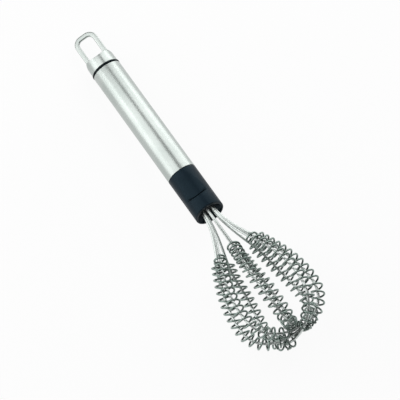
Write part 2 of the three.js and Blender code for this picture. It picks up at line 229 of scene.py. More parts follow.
def paint_shade(tree, colour, painted_shade_colour):
    """The colour, turning to the painted shade colour where the mesh's painted-shade mask is set."""
    node = tree.nodes.new("ShaderNodeMix")
    node.data_type = "RGBA"
    node.inputs["B"].default_value = (*painted_shade_colour, 1)
    tree.links.new(read_attribute(tree, "painted_shade").outputs["Fac"], node.inputs["Factor"])
    tree.links.new(colour, node.inputs["A"])
    return node.outputs["Result"]


def vary_surface(tree, shader, tone_mask, gloss_mask, pale, deep, smooth, rough, painted_shade_colour):
    colour = blend_colours(tree, blend_range(tree, tone_mask, 0, 1), pale, deep)
    # painted shade: the colour turns dark where the mesh's painted_shade mask is set
    if painted_shade_colour:
        colour = paint_shade(tree, colour, painted_shade_colour)
    tree.links.new(colour, shader.inputs["Base Color"])
    tree.links.new(blend_range(tree, gloss_mask, smooth, rough), shader.inputs["Roughness"])


def add_bump(tree, shader, height, strength, distance):
    bump = tree.nodes.new("ShaderNodeBump")
    bump.inputs["Strength"].default_value = strength
    bump.inputs["Distance"].default_value = distance
    tree.links.new(height, bump.inputs["Height"])
    tree.links.new(bump.outputs["Normal"], shader.inputs["Normal"])


# %% [markdown]
# ## Steel finishes
# There are three steels that show. The handle is satin, with fine lines along the tube. The wires are
# drawn bright, and the springs are bright too but of darker wire. A fourth steel is for the screw inside.
# All are a metallic Principled shader: the group's lines shift the roughness and lift the bump, and its
# clouds shift the colour. Wires and springs also get painted shade: a dark colour where their faces look
# into the coils and the crossing, in place of the shade that falls there.

# %% Materials: steel
STEEL_RELIEF = 0.02 * MM


def steel(name, place, spacing, cloud_scale, pale, deep, smooth, rough, bump, painted_shade_colour=None):
    material, tree, shader = new_material(name)
    shader.inputs["Metallic"].default_value = 1.0
    grain = tree.nodes.new("ShaderNodeGroup")
    grain.node_tree = worked_metal
    grain.inputs["Line Spacing"].default_value = spacing
    grain.inputs["Cloud Scale"].default_value = cloud_scale
    tree.links.new(read_place(tree, place), grain.inputs["Place"])
    lines, clouds = grain.outputs["Lines"], grain.outputs["Clouds"]
    vary_surface(tree, shader, clouds, lines, pale, deep, smooth, rough, painted_shade_colour)
    add_bump(tree, shader, lines, bump, STEEL_RELIEF)
    return material


handle_steel = steel(
    "handle_steel", "whisk_place", spacing=(5.0, 0.05, 5.0), cloud_scale=0.06,
    pale=(0.50, 0.538, 0.517), deep=(0.44, 0.483, 0.462), smooth=0.27, rough=0.36, bump=0.15,
)
wire_steel = steel(
    "wire_steel", "object", spacing=(3000.0, 3000.0, 3000.0), cloud_scale=60.0,
    pale=(0.62, 0.66, 0.64), deep=(0.55, 0.59, 0.57), smooth=0.32, rough=0.42, bump=0.05,
    # painted shade colour for the wires' faces at the crossing
    painted_shade_colour=(0.003, 0.004, 0.004),
)
spring_steel = steel(
    "spring_steel", "object", spacing=(2500.0, 2500.0, 2500.0), cloud_scale=80.0,
    pale=(0.31, 0.37, 0.34), deep=(0.20, 0.26, 0.235), smooth=0.14, rough=0.24, bump=0.05,
    # painted shade colour for the coils' inner faces and their last turns
    painted_shade_colour=(0.045, 0.064, 0.056),
)
screw_steel = steel(
    "screw_steel", "object", spacing=(2000.0, 2000.0, 2000.0), cloud_scale=200.0,
    pale=(0.70, 0.71, 0.72), deep=(0.55, 0.56, 0.57), smooth=0.25, rough=0.35, bump=0.1,
)
print("steels:", handle_steel.name, wire_steel.name, spring_steel.name, screw_steel.name)

# %% [markdown]
# ## Black finishes
# The collar is blue-black plastic, the plug and the ferrule inside are plainer, and the seal ring is
# rubber. All of them are less glossy than a Principled shader left as it comes, and they shine a little
# blue, so the specular level is set low and tinted. The collar gets painted shade in the crease at its
# step, from the same painted_shade attribute as the springs.

# %% Materials: plastic and rubber
GRAIN_RELIEF = 0.04 * MM


def moulded(name, place, grain_scale, pale, deep, smooth, rough, bump, painted_shade_colour=None):
    material, tree, shader = new_material(name)
    shader.inputs["Specular IOR Level"].default_value = 0.18
    shader.inputs["Specular Tint"].default_value = (0.55, 0.85, 1.0, 1)
    vector = read_place(tree, place)
    if place == "object":
        to_mm = tree.nodes.new("ShaderNodeVectorMath")
        to_mm.operation = "SCALE"
        to_mm.inputs["Scale"].default_value = 1 / MM
        tree.links.new(vector, to_mm.inputs[0])
        vector = to_mm.outputs["Vector"]
    grain = tree.nodes.new("ShaderNodeGroup")
    grain.node_tree = moulded_grain
    grain.inputs["Grain Scale"].default_value = grain_scale
    tree.links.new(vector, grain.inputs["Place"])
    wear = grain.outputs["Wear"]
    vary_surface(tree, shader, wear, wear, pale, deep, smooth, rough, painted_shade_colour)
    add_bump(tree, shader, grain.outputs["Grain"], bump, GRAIN_RELIEF)
    return material


black_plastic = moulded(
    "black_plastic", "whisk_place", grain_scale=3.0,
    pale=(0.006, 0.0125, 0.020), deep=(0.004, 0.0095, 0.016), smooth=0.36, rough=0.44, bump=0.2,
    # painted shade colour for the crease at the thumb rest's step
    painted_shade_colour=(0.001, 0.001, 0.001),
)
inner_plastic = moulded(
    "inner_plastic", "object", grain_scale=2.0,
    pale=(0.012, 0.014, 0.016), deep=(0.008, 0.009, 0.011), smooth=0.5, rough=0.6, bump=0.2,
)
black_rubber = moulded(
    "black_rubber", "whisk_place", grain_scale=4.0,
    pale=(0.003, 0.004, 0.0045), deep=(0.002, 0.0025, 0.003), smooth=0.45, rough=0.55, bump=0.15,
)
print("blacks:", black_plastic.name, inner_plastic.name, black_rubber.name)

# %% [markdown]
# ## Finishing a piece
# Every piece ends in the same way: doubles merged, normals turned out, its place in the whisk's
# directions kept as an attribute, and then the mesh laid down on the table. It rides on its body, takes
# its material and takes over from its CAD node, if it has one.

# %% Helper: lay a piece down
MERGE_DISTANCE = 0.0005


def close_shell(bm):
    bmesh.ops.remove_doubles(bm, verts=bm.verts, dist=MERGE_DISTANCE)
    bmesh.ops.recalc_face_normals(bm, faces=bm.faces)


def lay_piece(bm, name, material, node, body="handle", crease=35):
    close_shell(bm)
    place = bm.verts.layers.float_vector.new("whisk_place")
    for vert in bm.verts:
        vert[place] = vert.co
    bmesh.ops.transform(bm, matrix=lay_down, verts=bm.verts)
    mesh = bpy.data.meshes.new(name)
    bm.to_mesh(mesh)
    bm.free()
    mesh.shade_smooth()
    mesh.set_sharp_from_angle(angle=math.radians(crease))
    mesh.materials.append(material)
    piece = bpy.data.objects.new(name, mesh)
    bpy.context.scene.collection.objects.link(piece)
    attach(piece, body)
    if node:
        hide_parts(node)
    print(name, "has", len(mesh.polygons), "faces")


# %% [markdown]
# ## Turned pieces
# The tube, the ring, the cap and the collar are round, so each starts as a profile of a few vertices
# that is spun about the axis. A lathe's sharp corners never stay sharp on a real part, so the rings of
# edges that turn steeply are bevelled by a small radius.

# %% Helpers: spin a profile, round its corners
def turned(profile, closed=True, steps=128):
    bm = bmesh.new()
    verts = [bm.verts.new((radius, y, 0)) for radius, y in profile]
    ends = zip(verts, verts[1:] + verts[:1]) if closed else zip(verts, verts[1:])
    edges = [bm.edges.new(pair) for pair in ends]
    bmesh.ops.spin(
        bm, geom=verts + edges, cent=(0, 0, 0), axis=(0, 1, 0),
        angle=2 * math.pi, steps=steps, use_merge=True,
    )
    close_shell(bm)
    return bm


def round_corners(bm, radius, segments=3, steep=50):
    sharp = [e for e in bm.edges if len(e.link_faces) == 2
             and e.calc_face_angle(0) > math.radians(steep)]
    bmesh.ops.bevel(
        bm, geom=sharp, offset=radius, segments=segments, profile=0.5,
        affect="EDGES", material=-1, clamp_overlap=True,
    )


# %% [markdown]
# ## Handle tube
# A plain length of satin tube with a thin wall. It could be a cylinder with a Solidify modifier, but a
# spun rectangle gives wall and ends in one go, and the ends get a small rolled edge.

# %% Handle tube
TUBE_RADIUS = 11.0
TUBE_LENGTH = 97.0
TUBE_BORE = 10.2
TUBE_EDGE = 0.2
bm = turned([(TUBE_BORE, 0), (TUBE_RADIUS, 0), (TUBE_RADIUS, TUBE_LENGTH), (TUBE_BORE, TUBE_LENGTH)])
round_corners(bm, TUBE_EDGE)
lay_piece(bm, "handle_tube_satin", handle_steel, "handle_tube")

# %% [markdown]
# ## Seal ring
# The thin black ring between cap and tube stands a little proud of both, and its edge is well rounded,
# as rubber is. It is spun like the tube, between the two heights that the camera's aim already used.

# %% Seal ring
RING_RADIUS = 11.2
RING_BORE = 6.0
RING_EDGE = 0.3
bm = turned([
    (RING_BORE, RING_FOOT), (RING_RADIUS, RING_FOOT), (RING_RADIUS, RING_TOP), (RING_BORE, RING_TOP),
])
round_corners(bm, RING_EDGE, segments=4)
lay_piece(bm, "seal_ring_rubber", black_rubber, "seal_ring")

# %% [markdown]
# ## End cap
# The cap is a drum whose top is rounded at both shoulders, seen from the thumb's side, and gently vaulted
# seen from across. It could be cut with booleans. Here the drum is spun with many rings in its top, and
# each vertex of the top is then let down to the lower of the two rounds. The rings stand closer towards
# the rim, where the shoulders are steep.

# %% End cap
CAP_RADIUS = 10.75
CAP_FOOT = -1.9
CAP_CREST = -12.1
CAP_SHOULDER = 4.2
CAP_VAULT_DROP = 2.4
CAP_EDGE = 0.45
CAP_RINGS = 20
CAP_RING_CROWD = 1.4
HAIRBREADTH = 0.01


def cap_drop(x, z):
    over = max(0.0, abs(x) - (CAP_RADIUS - CAP_SHOULDER))
    shoulder = CAP_SHOULDER - math.sqrt(max(0.0, CAP_SHOULDER**2 - over**2))
    vault_radius = (CAP_RADIUS**2 + CAP_VAULT_DROP**2) / (2 * CAP_VAULT_DROP)
    vault = vault_radius - math.sqrt(vault_radius**2 - z**2)
    return max(shoulder, vault)


inward_shares = [(i / CAP_RINGS) ** CAP_RING_CROWD for i in range(CAP_RINGS + 1)]
top_rings = [(CAP_RADIUS * (1 - share), CAP_CREST) for share in inward_shares]
bm = turned([(0, CAP_FOOT), (CAP_RADIUS, CAP_FOOT), *top_rings], closed=False)
for vert in bm.verts:
    if vert.co.y < CAP_CREST + HAIRBREADTH:
        vert.co.y = CAP_CREST + cap_drop(vert.co.x, vert.co.z)
round_corners(bm, CAP_EDGE, segments=4, steep=40)
lay_piece(bm, "end_cap_satin", handle_steel, "end_cap")

# %% [markdown]
# ## Hanging loop: the bar
# The loop is a steel bar with soft edges, bent twice. A curve with a bevel could make it, but spin shows
# better how a bar is bent. The bar's section comes first: a grid of one face, scaled to the bar, its
# corners bevelled, stood at the foot of one leg. Only the ring of edges round it is kept.

# %% Section of the loop's bar
LOOP_WIDTH = 18.4
LOOP_BAR = 3.6
LOOP_THICKNESS = 2.5
LOOP_EDGE = 0.9
LOOP_FOOT = -5.9
leg_x = (LOOP_WIDTH - LOOP_BAR) / 2

bm = bmesh.new()
bmesh.ops.create_grid(bm, x_segments=1, y_segments=1, size=0.5)
bmesh.ops.scale(bm, vec=(LOOP_BAR, LOOP_THICKNESS, 1), verts=bm.verts)
bmesh.ops.bevel(
    bm, geom=bm.verts[:], offset=LOOP_EDGE, segments=5, profile=0.5, affect="VERTICES", material=-1,
)
bmesh.ops.rotate(bm, cent=(0, 0, 0), matrix=Matrix.Rotation(math.pi / 2, 3, "X"), verts=bm.verts)
bmesh.ops.translate(bm, vec=(leg_x, LOOP_FOOT, 0), verts=bm.verts)
bmesh.ops.delete(bm, geom=bm.faces[:], context="FACES_ONLY")
print("the bar's section has", len(bm.edges), "edges")

# %% [markdown]
# ## Hanging loop: the bends
# The ring of edges is extruded up the first leg, spun round a corner, carried across the top, spun round
# the other corner and brought down again. Its two open ends, which hide in the cap, are filled.

# %% Bend the hanging loop
LOOP_TOP = HOOK_SEAT_Y - LOOP_BAR
LOOP_CORNER = 7.0
CORNER_STEPS = 14
turn_x = LOOP_WIDTH / 2 - LOOP_CORNER
turn_y = LOOP_TOP + LOOP_CORNER


def carry(bm, edges, offset):
    made = bmesh.ops.extrude_edge_only(bm, edges=edges)["geom"]
    moved = [v for v in made if isinstance(v, bmesh.types.BMVert)]
    bmesh.ops.translate(bm, vec=offset, verts=moved)
    return [e for e in made if isinstance(e, bmesh.types.BMEdge)
            and all(v in moved for v in e.verts)]


def bend(bm, edges, centre, angle):
    verts = list({v for e in edges for v in e.verts})
    made = bmesh.ops.spin(
        bm, geom=edges + verts, cent=centre, axis=(0, 0, 1), angle=angle, steps=CORNER_STEPS,
    )["geom_last"]
    return [e for e in made if isinstance(e, bmesh.types.BMEdge)]


start = bm.edges[:]
section = carry(bm, start, (0, turn_y - LOOP_FOOT, 0))
section = bend(bm, section, (turn_x, turn_y, 0), -math.pi / 2)
section = carry(bm, section, (-2 * turn_x, 0, 0))
section = bend(bm, section, (-turn_x, turn_y, 0), -math.pi / 2)
section = carry(bm, section, (0, LOOP_FOOT - turn_y, 0))
for rim in (start, section):
    bmesh.ops.contextual_create(bm, geom=rim)
lay_piece(bm, "hanging_loop_satin", handle_steel, "hanging_loop")

# %% [markdown]
# ## Thumb collar: the body
# The collar continues the tube in black plastic. A spigot reaches into the tube, and the other end is a
# hollow mouth with a pocket for the ferrule. Cylinders and booleans could make it, but one spun profile
# gives the outer and inner faces together. The side gets a ring at each millimetre of the thumb rest and
# close rings round the rest's step, so that the next cell has vertices to move.

# %% Spin the collar
FIT = 0.3
COLLAR_START = TUBE_LENGTH + FIT
COLLAR_LENGTH = 35.1
COLLAR_STEPS = 160
SPIGOT_RADIUS = 9.9
SPIGOT_LENGTH = 12.0
RIM_MIDDLE = COLLAR_START + COLLAR_LENGTH
RIM_SPARE = 4.0
MOUTH_RADIUS = 9.75
MOUTH_FLOOR = 7.5
FERRULE_RECESS = 3.0
FERRULE_FACE = RIM_MIDDLE - FERRULE_RECESS
POCKET_RADIUS = 6.6
POCKET_DEPTH = 12.3
REST_INSET = 1.5
REST_START = COLLAR_START + REST_INSET
REST_RINGS = 20
STEP_RINGS = 24
STEP_SPACING = 0.1

pocket_floor = FERRULE_FACE - POCKET_DEPTH
rest_rings = [(TUBE_RADIUS, REST_START + i) for i in range(REST_RINGS)]
step_rings = [(TUBE_RADIUS, REST_START + REST_RINGS + STEP_SPACING * i) for i in range(STEP_RINGS)]
profile = [(SPIGOT_RADIUS, COLLAR_START - SPIGOT_LENGTH), (SPIGOT_RADIUS, COLLAR_START)]
profile += [(TUBE_RADIUS, COLLAR_START), *rest_rings, *step_rings, (TUBE_RADIUS, RIM_MIDDLE + RIM_SPARE)]
profile += [(MOUTH_RADIUS, RIM_MIDDLE + RIM_SPARE), (MOUTH_RADIUS, RIM_MIDDLE)]
profile += [(MOUTH_FLOOR, FERRULE_FACE), (POCKET_RADIUS, FERRULE_FACE)]
profile += [(POCKET_RADIUS, pocket_floor), (0, pocket_floor)]
bm = turned(profile, closed=False, steps=COLLAR_STEPS)
print("the collar's profile has", len(profile), "points")

# %% [markdown]
# ## Thumb collar: the rest
# On the thumb's side a shallow rest sinks towards a small leaning step. A sculpted surface on a turned
# body is hard to get from operators alone, so each vertex on that side is let down to the floor of the
# rest, which is part of a wide drum. At the foot of the step a shallow groove is sunk, and the same mask
# paints shade into it.

# %% Sink the thumb rest
REST_LENGTH = 21.2
REST_DEPTH = 1.5
REST_ROUND = 14.7
STEP_LEAN = math.radians(20)
STEP_WIDTH = 0.7
STEP_GROOVE = 0.4
GROOVE_FROM_DEPTH = 0.1
GROOVE_FULL_DEPTH = 0.6
rest_end = REST_START + REST_RINGS + STEP_SPACING * STEP_RINGS


def smooth_step(value, low, high):
    t = min(1.0, max(0.0, (value - low) / (high - low)))
    return t * t * (3 - 2 * t)


def rest_floor(y, angle):
    """Distance from the axis to the floor of the thumb rest, at an angle from the thumb's side."""
    sunk = REST_DEPTH * (y - REST_START) / REST_LENGTH
    middle = TUBE_RADIUS - sunk - REST_ROUND
    return middle * math.cos(angle) + math.sqrt(REST_ROUND**2 - (middle * math.sin(angle)) ** 2)


painted_shade = bm.verts.layers.float.new("painted_shade")
for vert in bm.verts:
    x, y, z = vert.co
    on_side = abs(math.hypot(x, z) - TUBE_RADIUS) < HAIRBREADTH
    if on_side and z > 0 and REST_START < y < rest_end:
        step_y = REST_START + REST_LENGTH + (z - TUBE_RADIUS + REST_DEPTH) * math.tan(STEP_LEAN)
        floor = min(TUBE_RADIUS, rest_floor(y, math.atan2(x, z)))
        risen = smooth_step(y, step_y - STEP_WIDTH, step_y)
        sunk = smooth_step(TUBE_RADIUS - floor, GROOVE_FROM_DEPTH, GROOVE_FULL_DEPTH)
        near_step = smooth_step(y, step_y - 2 * STEP_WIDTH, step_y - STEP_WIDTH)
        # painted shade mask for the crease at the step; it also sets the depth of the real groove
        vert[painted_shade] = sunk * (1 - risen) * near_step
        radius = floor + (TUBE_RADIUS - floor) * risen - STEP_GROOVE * vert[painted_shade]
        vert.co.x *= radius / TUBE_RADIUS
        vert.co.z *= radius / TUBE_RADIUS
print("the rest is", REST_DEPTH, "mm deep at its step")

# %% [markdown]
# ## Thumb collar: the mouth
# The rim of the mouth is cut at a slant. It could be a boolean, but cutting the mesh with a plane and
# bridging the two cut rings leaves clean edges to bevel.

# %% Cut the collar's rim
RIM_SLANT = math.radians(12)
RIM_EDGE = 0.25
cut = bmesh.ops.bisect_plane(
    bm, geom=bm.verts[:] + bm.edges[:] + bm.faces[:], plane_co=(0, RIM_MIDDLE, 0),
    plane_no=(0, math.cos(RIM_SLANT), math.sin(RIM_SLANT)), clear_outer=True,
)["geom_cut"]
rim = [e for e in cut if isinstance(e, bmesh.types.BMEdge)]
bmesh.ops.bridge_loops(bm, edges=rim)
bmesh.ops.bevel(
    bm, geom=rim, offset=RIM_EDGE, segments=3, profile=0.5, affect="EDGES", material=-1,
)
lay_piece(bm, "thumb_collar_moulded", black_plastic, "thumb_collar", crease=30)

# %% [markdown]
# ## The line of a leg
# Eight legs leave the ferrule, flare out to the widest place and come round to the crossing. In its own
# plane a leg is a straight stretch and two Bezier curves. The wires of a whisk in use are never quite
# even, so each leg may bow out of its plane round the widest place. Wires and springs both follow this
# line, so it is a small class that gives the place, direction and angle at any length along the leg. The
# list of bows, in degrees, goes round one side of the head and then the other, as the list of legs does.

# %% Helper: a leg of the head
LOOP_COUNT = 4
LEG_HELD = 9.7
LEG_FOOT = FERRULE_FACE - LEG_HELD
LEG_RADIUS = 4.5
WIRE_STACK = 2.3
HEAD_RADIUS = 30.2
HEAD_LENGTH = 104.9
HEAD_TO_WIDEST = 81.9
HEAD_WIDEST = RIM_MIDDLE + HEAD_TO_WIDEST
HEAD_END = RIM_MIDDLE + HEAD_LENGTH
FLARE_START = 27.0
FLARE_END = 38.0
FLARE_POINTS = 160
BOWL_SIDE = 14.0
BOWL_FLOOR = 20.0
BOWL_POINTS = 120
SPRING_TOP = 35.4
LEG_BOWS = [2, 7, 0, 14, 6, -8, 0, -11]
BOW_AT_TOP = 0.35
BOW_FULL_AT = 0.3


class Leg:
    def __init__(self, loop, side):
        crossing = HEAD_END + (loop - (LOOP_COUNT - 1) / 2) * WIRE_STACK
        corner = Vector((LEG_RADIUS, FERRULE_FACE))
        wide = Vector((HEAD_RADIUS, HEAD_WIDEST))
        flare = interpolate_bezier(
            corner, corner + Vector((0, FLARE_START)), wide - Vector((0, FLARE_END)), wide, FLARE_POINTS,
        )
        bowl = interpolate_bezier(
            wide, wide + Vector((0, BOWL_SIDE)), Vector((BOWL_FLOOR, crossing)), Vector((0, crossing)),
            BOWL_POINTS,
        )
        self.name = f"{loop + 1}{'ab'[side]}"
        self.points = [Vector((LEG_RADIUS, LEG_FOOT)), *flare, *bowl[1:]]
        self.ways = [0.0]
        for a, b in zip(self.points, self.points[1:]):
            self.ways.append(self.ways[-1] + (b - a).length)
        self.length = self.ways[-1]
        self.spring_start = RIM_MIDDLE - LEG_FOOT + SPRING_TOP
        self.angle = math.pi / LOOP_COUNT * loop + math.pi * side
        self.bow = math.radians(LEG_BOWS[loop + side * LOOP_COUNT])

    def at(self, way):
        """Place in the leg's plane, direction there, and angle of the plane, at a length along the leg."""
        way = min(max(way, 0.0), self.length)
        i = min(bisect_right(self.ways, way), len(self.ways) - 1) - 1
        span = self.points[i + 1] - self.points[i]
        place = self.points[i] + span * ((way - self.ways[i]) / (self.ways[i + 1] - self.ways[i]))
        sprung = (way - self.spring_start) / (self.length - self.spring_start)
        grown = BOW_AT_TOP + (1 - BOW_AT_TOP) * smooth_step(sprung, 0, BOW_FULL_AT)
        bow = self.bow * grown * (1 - smooth_step(sprung, BOW_FULL_AT, 1))
        return place, span.normalized(), self.angle + bow

    def point(self, way):
        place, _, angle = self.at(way)
        return Vector((place.x * math.sin(angle), place.y, place.x * math.cos(angle)))


legs = [Leg(loop, side) for side in range(2) for loop in range(LOOP_COUNT)]
print(len(legs), "legs, the first", round(legs[0].length, 1), "mm long")

# %% [markdown]
# ## Wire loops
# Each loop is one bent wire: down a leg, through the crossing and up the leg across from it. A curve with
# a round bevel is the natural way to make wire. The curve is turned into a mesh at once, and its open
# ends, which hide in the ferrule, are filled. Close to the crossing, the faces that look back into the
# head get painted shade.

# %% Helper and wires
WIRE_RADIUS = 1.0
WIRE_ROUNDNESS = 4
LEG_STEPS = 120
CROSSING_FROM = HEAD_END - 9
CROSSING_FULL = HEAD_END - 7
CROSSING_NEAR = 6
CROSSING_FAR = 9
LOOKS_AWAY = -0.2
LOOKS_BACK = 0.3


def wire_mesh(points, radius, roundness, name):
    data = bpy.data.curves.new(name, "CURVE")
    data.dimensions = "3D"
    data.bevel_depth = radius
    data.bevel_resolution = roundness
    spline = data.splines.new("POLY")
    spline.points.add(len(points) - 1)
    for knot, point in zip(spline.points, points):
        knot.co = (*point, 1)
    line = bpy.data.objects.new(name, data)
    bpy.context.scene.collection.objects.link(line)
    bpy.context.view_layer.update()
    mesh = bpy.data.meshes.new_from_object(line.evaluated_get(bpy.context.evaluated_depsgraph_get()))
    bm = bmesh.new()
    bm.from_mesh(mesh)
    bmesh.ops.holes_fill(bm, edges=[e for e in bm.edges if e.is_boundary], sides=0)
    bpy.data.objects.remove(line)
    bpy.data.curves.remove(data)
    bpy.data.meshes.remove(mesh)
    return bm


def paint_crossing_shade(bm):
    painted_shade = bm.verts.layers.float.new("painted_shade")
    bmesh.ops.recalc_face_normals(bm, faces=bm.faces)
    bm.normal_update()
    for vert in bm.verts:
        low = smooth_step(vert.co.y, CROSSING_FROM, CROSSING_FULL)
        near = 1 - smooth_step(math.hypot(vert.co.x, vert.co.z), CROSSING_NEAR, CROSSING_FAR)
        # painted shade on faces near the crossing that look back into the head
        vert[painted_shade] = low * near * smooth_step(-vert.normal.y, LOOKS_AWAY, LOOKS_BACK)


for loop in range(LOOP_COUNT):
    down, up = legs[loop], legs[loop + LOOP_COUNT]
    points = [down.point(down.length * i / LEG_STEPS) for i in range(LEG_STEPS)]
    points += [up.point(up.length * (1 - i / LEG_STEPS)) for i in range(LEG_STEPS + 1)]
    bm = wire_mesh(points, WIRE_RADIUS, WIRE_ROUNDNESS, "wire")
    paint_crossing_shade(bm)
    node = f"wire_loop_{loop + 1}"
    lay_piece(bm, node + "_drawn", wire_steel, node, crease=60)

# %% [markdown]
# ## Winding a coil
# A Screw modifier only winds round a straight line, so a coil's points are worked out round the leg's line
# and become a curve with a round bevel, as the wires did. Loose turns don't all stay square to the leg.
# Some slump along it, towards a line that leans from the thumb's side to the head. What faces the leg
# inside a coil gets painted shade.

# %% Helpers: wind a coil
COIL_RADIUS = 4.3
COIL_WIRE = 0.7
COIL_ROUNDNESS = 2
COIL_STEPS = 26
COIL_SKEW = 0.18
LEAN_LIMITS = (-0.35, 0.62)
SEARCH_STEP = 0.1
slump_line = Vector((0, 0.26, 0.966))


def coil_point(leg, way, turn, radius, hang):
    """A point of a left-handed coil round a leg. Hang is the share of their slump that its turns take."""
    _, along, angle = leg.at(way)
    ahead = Vector((along.x * math.sin(angle), along.y, along.x * math.cos(angle)))
    outward = Vector((along.y * math.sin(angle), -along.x, along.y * math.cos(angle)))
    sideways = outward.cross(ahead)
    turn_angle = 2 * math.pi * turn
    offset = radius * (math.cos(turn_angle) * outward + math.sin(turn_angle) * sideways)
    square = slump_line - slump_line.dot(ahead) * ahead
    slope = slump_line.dot(ahead) / square.length
    lean = min(LEAN_LIMITS[1], max(LEAN_LIMITS[0], slope))
    shift = lean * offset.dot(square) / square.length - COIL_SKEW * offset.x
    return leg.point(way) + offset + ahead * (hang * shift)


def way_back_at(leg, distance):
    """Length along the leg at which it has come back in to this distance from the axis."""
    way = leg.length
    while leg.at(way)[0].x < distance:
        way -= SEARCH_STEP
    return way


def lay_coil(points, middles, name, node, body, least_painted_shade=0.0):
    """Makes the wire of a coil round its middles, with painted shade on faces towards them. Least is the
    painted shade it takes everywhere.
    """
    bm = wire_mesh(points, COIL_WIRE, COIL_ROUNDNESS, "coil")
    painted_shade = bm.verts.layers.float.new("painted_shade")
    sides = len(bm.verts) // len(points)
    for i, vert in enumerate(bm.verts):
        point, middle = points[i // sides], middles[i // sides]
        # painted shade on the faces of the coil that look towards the leg
        inward = (point - vert.co).normalized().dot((point - middle).normalized())
        vert[painted_shade] = max(least_painted_shade, inward)
    lay_piece(bm, name, spring_steel, node, body=body, crease=60)


# %% [markdown]
# ## Coil springs
# A loose coil of thinner wire is threaded on each leg. Its top turn closes on the leg, which carries it,
# and its upper turns crowd together a little. Each spring slumps by its own share, one at the top and
# another from the middle on, and its last turns stand square again. One array of equal springs would be
# quicker, but uneven coils are what makes this head look real. The lists go in the order of the legs.

# %% Springs
COIL_TURNS = 16
COIL_CLOSED = 2.0
COIL_OPEN_AFTER = 0.8
COIL_END = 15.2
COIL_CROWDS = [1.25, 1.12, 1.12, 1.12, 1.45, 1.12, 1.12, 1.12]
COIL_STARTS = [0, 0, 0, 0, 0.4, 0, 0, 0]
TOP_SLUMPS = [0, 0, 1.0, 1.5, 1.0, 1.2, 0, 0]
MIDDLE_SLUMPS = [0.85, 0, 1.0, 0.2, 0.2, 0.2, 0, 0]
TOP_UNTIL = 0.15
MIDDLE_FROM = 0.5
SQUARE_FROM = 0.85


def slump_share(number, t):
    top, middle = TOP_SLUMPS[number], MIDDLE_SLUMPS[number]
    share = top + (middle - top) * smooth_step(t, TOP_UNTIL, MIDDLE_FROM)
    return share * (1 - smooth_step(t, SQUARE_FROM, 1))


for number, leg in enumerate(legs):
    end = way_back_at(leg, COIL_END)
    points, middles = [], []
    for i in range(COIL_TURNS * COIL_STEPS + 1):
        t = i / (COIL_TURNS * COIL_STEPS)
        way = leg.spring_start + (end - leg.spring_start) * t ** COIL_CROWDS[number]
        opened = smooth_step(t * COIL_TURNS, 0, COIL_OPEN_AFTER)
        radius = COIL_CLOSED + (COIL_RADIUS - COIL_CLOSED) * opened
        turn = COIL_STARTS[number] + COIL_TURNS * t
        points.append(coil_point(leg, way, turn, radius, slump_share(number, t)))
        middles.append(leg.point(way))
    node = f"coil_spring_{leg.name}"
    lay_coil(points, middles, node + "_wound", node, f"spring_{leg.name}")

# %% [markdown]
# ## Coils at the crossing
# Where the loops cross, the coils run on and thread through each other. These last turns are held between
# the wires, so they stay with the handle and don't slide, and little light reaches them. To find room for
# them, the script winds one leg after another, and each time takes the widest coil, and the first place to
# start it, that clears all wires and the turns already there. A KD-tree answers how far the nearest of
# those points is.

# %% Last turns
END_TURNS = 1.5
END_OUTER = 13.4
END_INNER = 7.0
END_SPARE = 0.2
END_STARTS = 16
END_SIZES = 23
END_NARROWING = 0.1
# painted shade that the last turns take everywhere, where little light reaches them
END_SHADE = 0.4
WIRE_SAMPLES = 200
WIRE_SAMPLE_STEP = 0.15


def tree_of(points):
    tree = KDTree(len(points))
    for i, point in enumerate(points):
        tree.insert(point, i)
    tree.balance()
    return tree


def clears(points, tree, distance):
    return all(tree.find(point)[2] > distance for point in points)


def room_for(leg, wires, laid):
    """The widest last turns that fit round a leg: their points, the leg's points inside, their radius."""
    first, last = way_back_at(leg, END_OUTER), way_back_at(leg, END_INNER)
    steps = round(END_TURNS * COIL_STEPS)
    shares = [i / steps for i in range(steps + 1)]
    ways = [first + (last - first) * t for t in shares]
    coils = tree_of(laid) if laid else None
    for narrower in range(END_SIZES):
        radius = COIL_RADIUS - END_NARROWING * narrower
        for start in range(END_STARTS):
            points = [coil_point(leg, way, start / END_STARTS + END_TURNS * t, radius, 0)
                      for way, t in zip(ways, shares)]
            if not clears(points, wires, WIRE_RADIUS + COIL_WIRE + END_SPARE):
                continue
            if coils and not clears(points, coils, 2 * COIL_WIRE + END_SPARE):
                continue
            return points, [leg.point(way) for way in ways], radius
    raise ValueError(f"no room for the last turns of {leg.name}")


wires = tree_of([leg.point(leg.length - WIRE_SAMPLE_STEP * i) for leg in legs for i in range(WIRE_SAMPLES)])
laid_points = []
for leg in legs:
    points, middles, radius = room_for(leg, wires, laid_points)
    laid_points += points
    lay_coil(points, middles, f"coil_end_{leg.name}", None, "handle", least_painted_shade=END_SHADE)
    print("end of coil", leg.name, "has radius", round(radius, 1))

# %% [markdown]
# ## Inner pieces
# The plug, the screw and the ferrule sit inside, where only the ferrule's face shows in the mouth. Their
# CAD solids have the right shape, so they stay and only get their finishes.

# %% Materials on the inner pieces
inner_finishes = {"end_plug": inner_plastic, "cap_screw": screw_steel, "wire_ferrule": inner_plastic}
for node, material in inner_finishes.items():
    mesh = frame["nodes"][node].data
    mesh.materials.clear()
    mesh.materials.append(material)
print("inner pieces finished:", len(inner_finishes))

# %% [markdown]
# ## Floor
# The whisk lies on a plain white ground. A diffuse floor would turn grey at the edges of the lamps' light,
# so this one is mostly emission where the camera or a reflection sees it. The rest stays diffuse and still
# takes part of the whisk's shadow.

